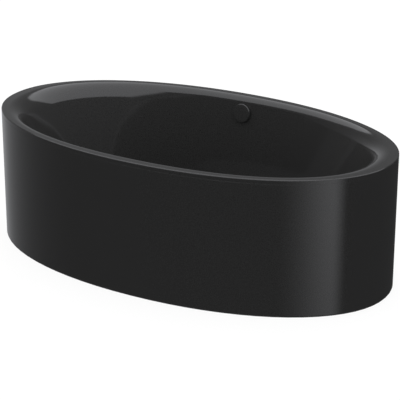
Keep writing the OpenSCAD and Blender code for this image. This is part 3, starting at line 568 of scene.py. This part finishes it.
# The trap cap: its grips' height, its chamfer, its thread's depth inside the rim, and the
# points of the dish in its top as (radius, depth)
CAP_GRIP = 0.0014
CAP_CHAMFER = 0.0008
CAP_THREAD = 0.0032
CAP_DISH = ((0, 0.0012), (0.030, 0.0012), (0.031, 0.0004))


def hose_line():
    """The hose's centre line as (Y, Z, angle from level) at a distance along it: beside the
    wall, round the bend and level to the waste."""
    slope = SIDE["slope"]
    top = overflow_frame @ Vector((0, -HOSE_START, -HOSE_DEPTH))
    hose_low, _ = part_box("overflow_hose")
    run = (top.z - PIPE_HEIGHT) / math.sin(slope) - HOSE_BEND * math.tan(slope / 2)
    arc_y = top.y - (top.z - PIPE_HEIGHT) / math.tan(slope) - HOSE_BEND * math.tan(slope / 2)
    length = run + HOSE_BEND * slope + arc_y - hose_low.y

    def at(distance):
        if distance <= run:
            return (top.y - distance * math.cos(slope), top.z - distance * math.sin(slope), slope)
        if distance <= run + HOSE_BEND * slope:
            angle = slope - (distance - run) / HOSE_BEND
            return (arc_y + HOSE_BEND * math.sin(angle),
                    PIPE_HEIGHT + HOSE_BEND * (1 - math.cos(angle)), angle)
        return (arc_y - (distance - run - HOSE_BEND * slope), PIPE_HEIGHT, 0)
    return at, length


def make_hose():
    """A corrugated waste hose with a plain cuff at each end."""
    at, length = hose_line()
    ribs = int((length - 2 * HOSE_CUFF) / HOSE_PITCH)
    cuff = (length - ribs * HOSE_PITCH) / 2
    rings = [(0.0, HOSE_RADIUS)]
    for rib in range(ribs):
        start = cuff + rib * HOSE_PITCH
        rings += [(start + HOSE_PITCH * share, radius) for share, radius in HOSE_RIB]
    rings.append((length, HOSE_RADIUS))
    rings += [(length * i / BORE_ROWS, HOSE_BORE) for i in range(BORE_ROWS, -1, -1)]
    rings.append((0.0, HOSE_RADIUS))
    bm = bmesh.new()
    row = bmesh.ops.create_circle(bm, segments=FACETS["hose"], radius=1)["verts"]
    edges = list(bm.edges)
    unit = [vert.co.copy() for vert in row]
    for i, (distance, radius) in enumerate(rings):
        y, z, angle = at(distance)
        side = Vector((0, math.sin(angle), -math.cos(angle)))
        if i:
            row, edges = next_row(bm, edges)
        for vert, place in zip(row, unit):
            vert.co = Vector((radius * place.x, y, z)) + side * radius * place.y
    bmesh.ops.remove_doubles(bm, verts=bm.verts, dist=WELD)
    bmesh.ops.recalc_face_normals(bm, faces=bm.faces)
    add_piece("corrugated_hose", bm, "dark_plastic", "bath", ["overflow_hose"])


# Which facets of a turned shape are its rim: the ones that stand upright near its radius
UPRIGHT = 0.1
RIM_SHARE = 0.97


def raise_grips(bm, radius, grip_radius):
    """Every other facet of a turned shape's rim stands out as a finger grip."""
    rim = [f for f in bm.faces if abs(f.normal.z) < UPRIGHT
           and f.calc_center_median().xy.length > radius * RIM_SHARE]
    rim.sort(key=lambda f: math.atan2(f.calc_center_median().y, f.calc_center_median().x))
    grips = bmesh.ops.extrude_discrete_faces(bm, faces=rim[::2])["faces"]
    grow = grip_radius / radius
    for face in grips:
        for vert in face.verts:
            vert.co.x *= grow
            vert.co.y *= grow


def make_nuts():
    """The trap's two union nuts, each with finger grips round it."""
    body = NUT_RADIUS - NUT_GRIP
    bore = PIPE_RADIUS + NUT_ROOM
    pipe = PIPE_RADIUS + THREAD_ROOM
    profile = [(bore, -NUT_OPEN), (body - NUT_CHAMFER, -NUT_OPEN), (body, NUT_CHAMFER - NUT_OPEN),
               (body, NUT_SHUT - NUT_CHAMFER), (body - NUT_CHAMFER, NUT_SHUT), (pipe, NUT_SHUT),
               (pipe, NUT_LIP), (bore, NUT_LIP)]
    whole = bmesh.new()
    for x, turn in ((nuts_high.x - NUT_SHUT, 90), (nuts_low.x + NUT_SHUT, -90)):
        bm = spun(profile, FACETS["nut"], closed=True)
        raise_grips(bm, body, NUT_RADIUS)
        place = (Matrix.Translation((x, 0, PIPE_HEIGHT))
                 @ Matrix.Rotation(math.radians(turn), 4, "Y"))
        bmesh.ops.transform(bm, matrix=place, verts=bm.verts)
        part = bpy.data.meshes.new("union_nut")
        bm.to_mesh(part)
        bm.free()
        whole.from_mesh(part)
        bpy.data.meshes.remove(part)
    add_piece("ribbed_union_nuts", whole, "dark_plastic", "bath", ["pipe_nuts"])


def make_trap_cap():
    """The trap's screw cap: finger grips round its edge and a shallow dish in its top."""
    radius = (cap_top.x - cap_bottom.x) / 2
    body = radius - CAP_GRIP
    seat = trap_high.z + THREAD_ROOM
    profile = [(dish, cap_top.z - depth) for dish, depth in CAP_DISH]
    profile += [(body - CAP_CHAMFER, cap_top.z), (body, cap_top.z - CAP_CHAMFER), (body, seat),
                (radius - CAP_THREAD, seat), (radius - CAP_THREAD, cap_bottom.z),
                (0, cap_bottom.z)]
    bm = spun(profile, FACETS["trap_cap"])
    raise_grips(bm, body, radius)
    bmesh.ops.translate(bm, vec=(TRAP_X, 0, 0), verts=bm.verts)
    add_piece("ribbed_trap_cap", bm, "dark_plastic", "bath", ["trap_cap"])


make_tub()
make_apron()
make_knob()
make_plug_cap()
make_hose()
make_nuts()
make_trap_cap()


# ---- Surroundings, light and camera ----

# The floor reaches the horizon and lies just under the rubber strip. Its own glow keeps it
# pale, and its gloss and bounce are left out, so that the bath shows the tent alone
FLOOR_RADIUS = 40
FLOOR_LEVEL = -0.0005
FLOOR_GLOW = 0.85


def make_floor():
    """A pale studio floor, lit evenly enough that it stays light round the bath."""
    bm = bmesh.new()
    bmesh.ops.create_circle(bm, cap_ends=True, segments=FACETS["floor"], radius=FLOOR_RADIUS)
    bmesh.ops.translate(bm, vec=(0, 0, FLOOR_LEVEL), verts=bm.verts)
    floor = new_object("studio_floor", bm)
    material, *_ = start_material("painted_studio_floor", Roughness=0.9, Specular_IOR_Level=0,
                                  Base_Color=srgb("#505050"), Emission_Color=srgb("#ffffff"),
                                  Emission_Strength=FLOOR_GLOW)
    floor.data.materials.append(material)
    floor.visible_glossy = False
    floor.visible_diffuse = False


def falls_off(tree, source, output, centre, spread):
    """A bell curve round a centre, exp(-((value - centre) / spread)^2), as a node."""
    away = add_node(tree, "ShaderNodeMath", {"operation": "SUBTRACT"}, {1: centre},
                    {0: (source, output)})
    scaled = add_node(tree, "ShaderNodeMath", {"operation": "DIVIDE"}, {1: spread},
                      {0: (away, "Value")})
    square = add_node(tree, "ShaderNodeMath", {"operation": "MULTIPLY"}, None,
                      {0: (scaled, "Value"), 1: (scaled, "Value")})
    minus = add_node(tree, "ShaderNodeMath", {"operation": "MULTIPLY"}, {1: -1.0},
                     {0: (square, "Value")})
    return add_node(tree, "ShaderNodeMath", {"operation": "EXPONENT"}, None,
                    {0: (minus, "Value")})


def between(tree, source, output, rise, fall):
    """Rises smoothly from 0 to 1 over one span of values and falls over another, as a node."""
    rise = add_node(tree, "ShaderNodeMapRange", {"interpolation_type": "SMOOTHSTEP"},
                    {"From Min": rise[0], "From Max": rise[1]}, {"Value": (source, output)})
    fall = add_node(tree, "ShaderNodeMapRange", {"interpolation_type": "SMOOTHSTEP"},
                    {"From Min": fall[0], "From Max": fall[1], "To Min": 1.0, "To Max": 0.0},
                    {"Value": (source, output)})
    return add_node(tree, "ShaderNodeMath", {"operation": "MULTIPLY"}, None,
                    {0: (rise, "Result"), 1: (fall, "Result")})


# Upright light panels round the bath, with their angles in degrees: brightness, azimuth of
# the middle, from where to where it brightens and dims beside that, height, its spread
PANELS = ((0.58, 145, (-36, 0), (0, 75), -8, 22), (0.15, 125, (-45, 0), (0, 45), 8, 18),
          (1.30, 332, (-40, 1), (0, 16), -16, 14))
# The soft box overhead: its soft edges as X / Z and Y / Z of the direction to them. Its left
# edge slants from a little behind the middle to the far edge
OVERHEAD = {"left": (-1.45, -1.33), "right": (2.06, 2.18), "near": (-8.0, -5.0),
            "far": (1.24, 1.36), "slant": 0.35, "slant_start": -0.2, "brightness": 1.5}
# Spans beyond every direction, for a side without an edge of its own
NO_START = (-91, -90)
NO_EDGE = (90, 91)
# Directions lower than this count as this low, so that nothing is divided by zero
LEAST_HEIGHT = 0.0001
# Half a turn and straight up, in degrees
HALF_TURN = 180.0
UPWARDS = 90.0
# The panels' faintly cold white
PANEL_WHITE = "#fafbff"
# Between these heights in degrees the walls change, and the floor ends
HORIZON = (-4.0, 6.0)
FLOOR_EDGE = (-4.0, 4.0)
# What the gloss shows of the tent's walls, above the horizon and below it
WALLS_ABOVE = 0.10
WALLS_BELOW = 0.04
# Even light from the tent's top, its walls at the horizon and the floor
TENT_TOP = 3.5
TENT_WALLS = 1.75
FLOOR_LIGHT = 0.25


def light_studio():
    """A light tent. Gloss shows its walls, its panels and its overhead soft box, and all
    other light comes from its even white."""
    world = bpy.data.worlds.new("studio")
    bpy.context.scene.world = world
    world.use_nodes = True
    tree = world.node_tree
    tree.nodes.clear()
    place = add_node(tree, "ShaderNodeTexCoord")
    parts = add_node(tree, "ShaderNodeSeparateXYZ", links={"Vector": (place, "Generated")})
    turn = add_node(tree, "ShaderNodeMath", {"operation": "ARCTAN2"}, None,
                    {0: (parts, "Y"), 1: (parts, "X")})
    azimuth = add_node(tree, "ShaderNodeMath", {"operation": "DEGREES"}, None,
                       {0: (turn, "Value")})
    tilt = add_node(tree, "ShaderNodeMath", {"operation": "ARCSINE"}, None, {0: (parts, "Z")})
    height = add_node(tree, "ShaderNodeMath", {"operation": "DEGREES"}, None,
                      {0: (tilt, "Value")})
    light = add_node(tree, "ShaderNodeMapRange", {"interpolation_type": "SMOOTHSTEP"},
                     {"From Min": HORIZON[0], "From Max": HORIZON[1], "To Min": WALLS_BELOW,
                      "To Max": WALLS_ABOVE}, {"Value": (height, "Value")})
    for brightness, middle, rise, fall, level, spread in PANELS:
        # The angle is measured from the panel's own middle, so that it doesn't jump there
        away = add_node(tree, "ShaderNodeMath", {"operation": "SUBTRACT"}, {1: middle},
                        {0: (azimuth, "Value")})
        wrapped = add_node(tree, "ShaderNodeMath", {"operation": "WRAP"},
                           {1: HALF_TURN, 2: -HALF_TURN}, {0: (away, "Value")})
        across = between(tree, wrapped, "Value", rise, fall)
        along = falls_off(tree, height, "Value", level, spread)
        panel = add_node(tree, "ShaderNodeMath", {"operation": "MULTIPLY"}, None,
                         {0: (across, 0), 1: (along, 0)})
        light = add_node(tree, "ShaderNodeMath", {"operation": "MULTIPLY_ADD"},
                         {1: brightness}, {0: (panel, 0), 2: (light, 0)})
    above = add_node(tree, "ShaderNodeMath", {"operation": "MAXIMUM"}, {1: LEAST_HEIGHT},
                     {0: (parts, "Z")})
    over_x = add_node(tree, "ShaderNodeMath", {"operation": "DIVIDE"}, None,
                      {0: (parts, "X"), 1: (above, "Value")})
    over_y = add_node(tree, "ShaderNodeMath", {"operation": "DIVIDE"}, None,
                      {0: (parts, "Y"), 1: (above, "Value")})
    slant = add_node(tree, "ShaderNodeMath", {"operation": "MULTIPLY"},
                     {1: OVERHEAD["slant"]}, {0: (over_y, "Value")})
    shift = add_node(tree, "ShaderNodeMath", {"operation": "MAXIMUM"},
                     {1: OVERHEAD["slant_start"]}, {0: (slant, "Value")})
    slanted_x = add_node(tree, "ShaderNodeMath", {"operation": "SUBTRACT"}, None,
                         {0: (over_x, "Value"), 1: (shift, "Value")})
    ends = between(tree, slanted_x, "Value", OVERHEAD["left"], NO_EDGE)
    for source, rise, fall in ((over_x, NO_START, OVERHEAD["right"]),
                               (over_y, OVERHEAD["near"], OVERHEAD["far"])):
        side = between(tree, source, "Value", rise, fall)
        ends = add_node(tree, "ShaderNodeMath", {"operation": "MULTIPLY"}, None,
                        {0: (ends, 0), 1: (side, 0)})
    light = add_node(tree, "ShaderNodeMath", {"operation": "MULTIPLY_ADD"},
                     {1: OVERHEAD["brightness"]}, {0: (ends, 0), 2: (light, 0)})
    tent = add_node(tree, "ShaderNodeMapRange", None,
                    {"From Min": 0.0, "From Max": UPWARDS, "To Min": TENT_WALLS - FLOOR_LIGHT,
                     "To Max": TENT_TOP - FLOOR_LIGHT}, {"Value": (height, "Value")})
    over_floor = add_node(tree, "ShaderNodeMapRange", {"interpolation_type": "SMOOTHSTEP"},
                          {"From Min": FLOOR_EDGE[0], "From Max": FLOOR_EDGE[1]},
                          {"Value": (height, "Value")})
    even = add_node(tree, "ShaderNodeMath", {"operation": "MULTIPLY_ADD"}, {2: FLOOR_LIGHT},
                    {0: (tent, "Result"), 1: (over_floor, "Result")})
    rays = add_node(tree, "ShaderNodeLightPath")
    seen = add_node(tree, "ShaderNodeBackground", inputs={"Color": srgb("#ffffff")},
                    links={"Strength": (even, "Value")})
    shown = add_node(tree, "ShaderNodeBackground", inputs={"Color": srgb(PANEL_WHITE)},
                     links={"Strength": (light, 0)})
    mixed = add_node(tree, "ShaderNodeMixShader",
                     links={"Fac": (rays, "Is Glossy Ray"), 1: (seen, 0), 2: (shown, 0)})
    add_node(tree, "ShaderNodeOutputWorld", links={"Surface": (mixed, 0)})


# The camera's direction from the bath, its distance, its lens and its frame
CAMERA_AZIMUTH = math.radians(30.315)
CAMERA_ELEVATION = math.radians(21.367)
CAMERA_DISTANCE = 6.7165
CAMERA_LENS = 143.26
CAMERA_SENSOR = 36
CAMERA_SHIFT = (0.0191, -0.0246)


def set_camera():
    """A long lens, high on one side, aimed at the middle of the bath."""
    target = Vector((0, 0, RIM_HEIGHT / 2))
    level = math.cos(CAMERA_ELEVATION)
    back = Vector((math.sin(CAMERA_AZIMUTH) * level, -math.cos(CAMERA_AZIMUTH) * level,
                   math.sin(CAMERA_ELEVATION)))
    data = bpy.data.cameras.new("studio_camera")
    data.lens = CAMERA_LENS
    data.sensor_width = CAMERA_SENSOR
    data.shift_x, data.shift_y = CAMERA_SHIFT
    camera = bpy.data.objects.new("studio_camera", data)
    camera.location = target + back * CAMERA_DISTANCE
    camera.rotation_euler = (-back).to_track_quat("-Z", "Y").to_euler()
    bpy.context.scene.collection.objects.link(camera)
    bpy.context.scene.camera = camera


make_floor()
light_studio()
set_camera()
bpy.context.scene.view_settings.view_transform = "Standard"
bpy.context.view_layer.update()
